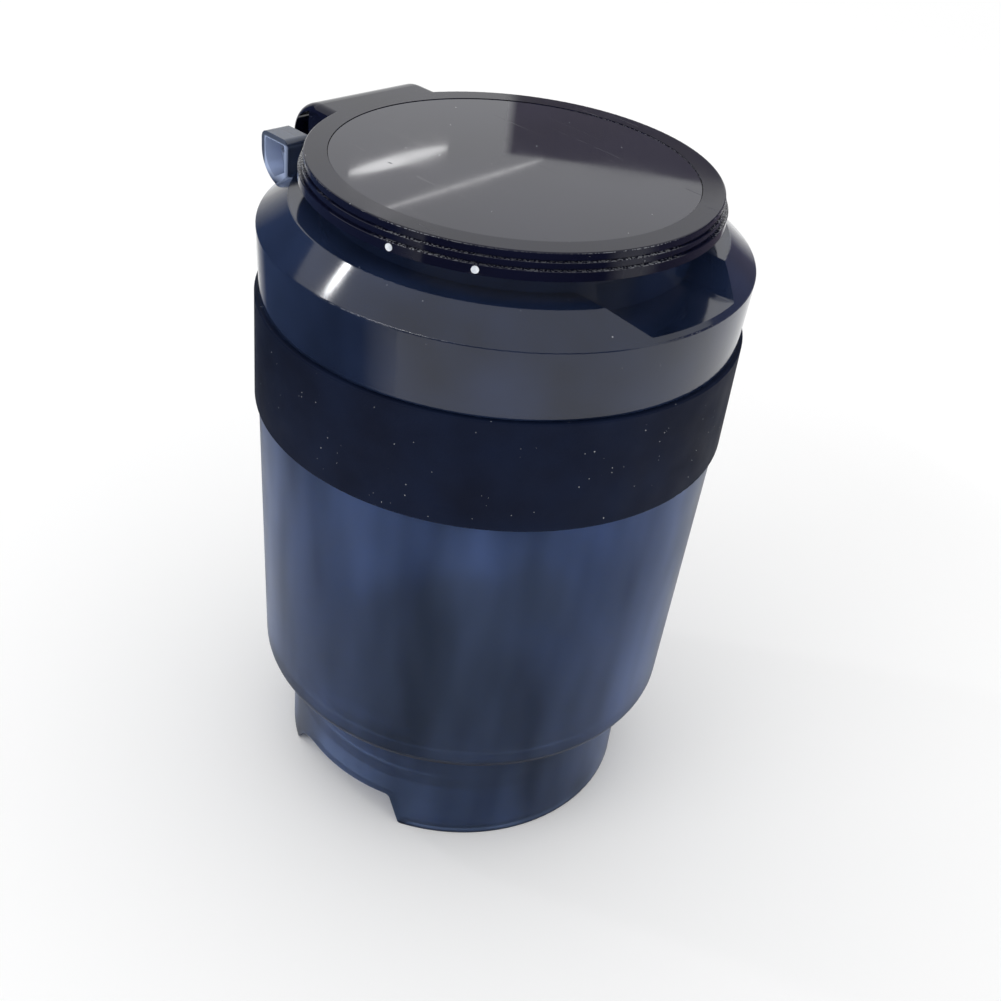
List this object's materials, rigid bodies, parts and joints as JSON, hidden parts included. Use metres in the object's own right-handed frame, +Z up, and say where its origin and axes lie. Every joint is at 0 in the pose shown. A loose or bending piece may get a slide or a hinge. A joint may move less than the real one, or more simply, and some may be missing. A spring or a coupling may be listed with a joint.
{
  "type": "robot vacuum water tank",
  "caption": "Round translucent water tank with a stepped, notched foot, a rubber grip band, a shoulder collar with a finger notch and a hinged flip lid.",
  "frame": {"origin": "centre of the foot, on the surface that it stands on", "axes": "+Z up along the tank's axis, +Y towards the lid's hinge, finger notch at -Y"},
  "size_m": [0.1208, 0.1221, 0.1776],
  "materials": {
    "tank_plastic": "satin, translucent dark navy",
    "grip_rubber": "matt",
    "collar_plastic": "glossy, translucent dark navy",
    "lid_plastic": "glossy dark navy",
    "window_plastic": "glossy smoked grey",
    "dot_white": "matt white",
    "liner_plastic": "satin dark",
    "seal_rubber": "matt soft",
    "steel": "plain",
    "valve_plastic": "satin dark",
    "strainer_plastic": "satin dark",
    "float_foam": "matt",
    "magnet": "plated"
  },
  "bodies": {
    "tank": {"tank_body": "tank_plastic", "grip_band": "grip_rubber", "collar": "collar_plastic", "collar_seal": "seal_rubber", "hinge_pin": "steel", "outlet_bush": "valve_plastic", "outlet_gasket": "seal_rubber", "outlet_nut": "valve_plastic", "outlet_spring": "steel", "strainer": "strainer_plastic", "float_pin": "steel"},
    "lid": {"lid_frame": "lid_plastic", "lid_window": "window_plastic", "index_dots": "dot_white", "lid_liner": "liner_plastic", "lid_gasket": "seal_rubber", "liner_screws": "steel", "vent_flap": "seal_rubber"},
    "valve": {"outlet_stem": "valve_plastic", "outlet_seal": "seal_rubber", "outlet_clip": "steel"},
    "float": {"float_arm": "valve_plastic", "float_body": "float_foam", "float_magnet": "magnet"}
  },
  "joints": [
    {"name": "lid_hinge", "type": "hinge", "parent": "tank", "child": "lid", "pos_m": [0, 0.0525, 0.1684], "axis": [-1, 0, 0], "range_deg": [0, 100]},
    {"name": "valve_lift", "type": "slide", "parent": "tank", "child": "valve", "axis": [0, 0, 1], "range_m": [0, 0.004], "stiffness_N_per_m": 300, "springref_m": -0.004, "deforming": ["outlet_spring"]},
    {"name": "float_swing", "type": "hinge", "parent": "tank", "child": "float", "pos_m": [0.0215, 0, 0.03], "axis": [0, -1, 0], "range_deg": [0, 30]}
  ]
}
